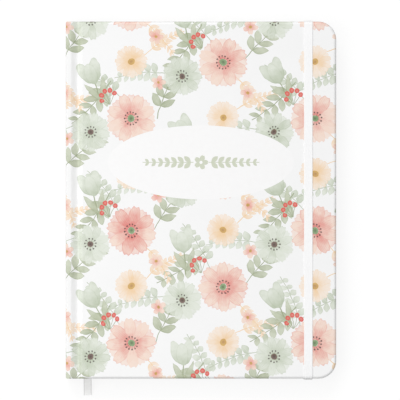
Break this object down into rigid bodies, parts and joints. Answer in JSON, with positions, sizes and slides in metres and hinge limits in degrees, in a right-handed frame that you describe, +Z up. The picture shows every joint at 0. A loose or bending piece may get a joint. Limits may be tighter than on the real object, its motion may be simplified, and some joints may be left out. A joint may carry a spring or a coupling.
{
  "type": "address book",
  "caption": "Hard-covered address book with printed case, hinge grooves, stepped index sections, ribbon bookmark and elastic closing band; opens flat in its middle.",
  "frame": {"origin": "middle of the back cover's outer face, on the surface that the closed book lies on", "axes": "+Z up through the book from the back cover to the front cover, +Y towards the head, +X towards the fore edge, spine at -X"},
  "size_m": [0.159, 0.2209, 0.015],
  "materials": {
    "cover_print": "printed paper, satin laminate",
    "greyboard": "matt greyboard",
    "endpaper": "matt uncoated paper",
    "pages": "matt writing paper",
    "lining": "starched gauze",
    "band_cloth": "woven cotton",
    "ribbon": "satin weave",
    "elastic": "knitted elastic"
  },
  "bodies": {
    "back_cover": {"back_cover_paper": "cover_print", "back_board": "greyboard", "back_pastedown": "endpaper", "back_flyleaf": "endpaper", "pages_mn": "pages", "pages_op": "pages", "pages_qr": "pages", "pages_st": "pages", "pages_uv": "pages", "pages_wx": "pages", "pages_yz": "pages", "back_lining": "lining", "back_head_band": "band_cloth", "back_tail_band": "band_cloth", "ribbon_bookmark": "ribbon", "elastic_ends": "elastic"},
    "spine": {"spine_cover_paper": "cover_print", "spine_board": "greyboard"},
    "front_cover": {"front_cover_paper": "cover_print", "front_board": "greyboard", "front_pastedown": "endpaper"},
    "front_block": {"front_flyleaf": "endpaper", "front_lining": "lining", "front_head_band": "band_cloth", "front_tail_band": "band_cloth"},
    "section_ab": {"pages_ab": "pages"},
    "section_cd": {"pages_cd": "pages"},
    "section_ef": {"pages_ef": "pages"},
    "section_gh": {"pages_gh": "pages"},
    "section_ij": {"pages_ij": "pages"},
    "section_kl": {"pages_kl": "pages"},
    "elastic": {"elastic_band": "elastic"}
  },
  "joints": [
    {"name": "front_cover_hinge", "type": "hinge", "parent": "spine", "child": "front_cover", "pos_m": [-0.0771, 0, 0.01179], "axis": [0, -1, 0], "range_deg": [0, 90]},
    {"name": "spine_hinge", "type": "hinge", "parent": "back_cover", "child": "spine", "pos_m": [-0.0771, 0, 0.0024], "axis": [0, -1, 0], "range_deg": [0, 90]},
    {"name": "front_block_turn", "type": "hinge", "parent": "back_cover", "child": "front_block", "pos_m": [-0.0772, 0, 0.00709], "axis": [0, -1, 0], "range_deg": [0, 179.7]},
    {"name": "pages_ab_turn", "type": "hinge", "parent": "back_cover", "child": "section_ab", "pos_m": [-0.0772, 0, 0.00709], "axis": [0, -1, 0], "range_deg": [0, 179.4]},
    {"name": "pages_cd_turn", "type": "hinge", "parent": "back_cover", "child": "section_cd", "pos_m": [-0.0772, 0, 0.00709], "axis": [0, -1, 0], "range_deg": [0, 179.1]},
    {"name": "pages_ef_turn", "type": "hinge", "parent": "back_cover", "child": "section_ef", "pos_m": [-0.0772, 0, 0.00709], "axis": [0, -1, 0], "range_deg": [0, 178.7]},
    {"name": "pages_gh_turn", "type": "hinge", "parent": "back_cover", "child": "section_gh", "pos_m": [-0.0772, 0, 0.00709], "axis": [0, -1, 0], "range_deg": [0, 178.3]},
    {"name": "pages_ij_turn", "type": "hinge", "parent": "back_cover", "child": "section_ij", "pos_m": [-0.0772, 0, 0.00709], "axis": [0, -1, 0], "range_deg": [0, 177.8]},
    {"name": "pages_kl_turn", "type": "hinge", "parent": "back_cover", "child": "section_kl", "pos_m": [-0.0772, 0, 0.00709], "axis": [0, -1, 0], "range_deg": [0, 177.2]},
    {"name": "elastic_release", "type": "hinge", "parent": "back_cover", "child": "elastic", "pos_m": [0.0631, 0, 0.00709], "axis": [0, 1, 0], "range_deg": [0, 180], "deforming": ["elastic_band"]}
  ],
  "couplings": [
    {"joint": "spine_hinge", "follows": "front_cover_hinge", "ratio": 1},
    {"joint": "front_block_turn", "follows": "front_cover_hinge", "ratio": 1.9967},
    {"joint": "pages_ab_turn", "follows": "front_cover_hinge", "ratio": 1.9933},
    {"joint": "pages_cd_turn", "follows": "front_cover_hinge", "ratio": 1.99},
    {"joint": "pages_ef_turn", "follows": "front_cover_hinge", "ratio": 1.9856},
    {"joint": "pages_gh_turn", "follows": "front_cover_hinge", "ratio": 1.9811},
    {"joint": "pages_ij_turn", "follows": "front_cover_hinge", "ratio": 1.9756},
    {"joint": "pages_kl_turn", "follows": "front_cover_hinge", "ratio": 1.9689},
    {"joint": "elastic_release", "follows": "front_cover_hinge", "ratio": 2}
  ]
}
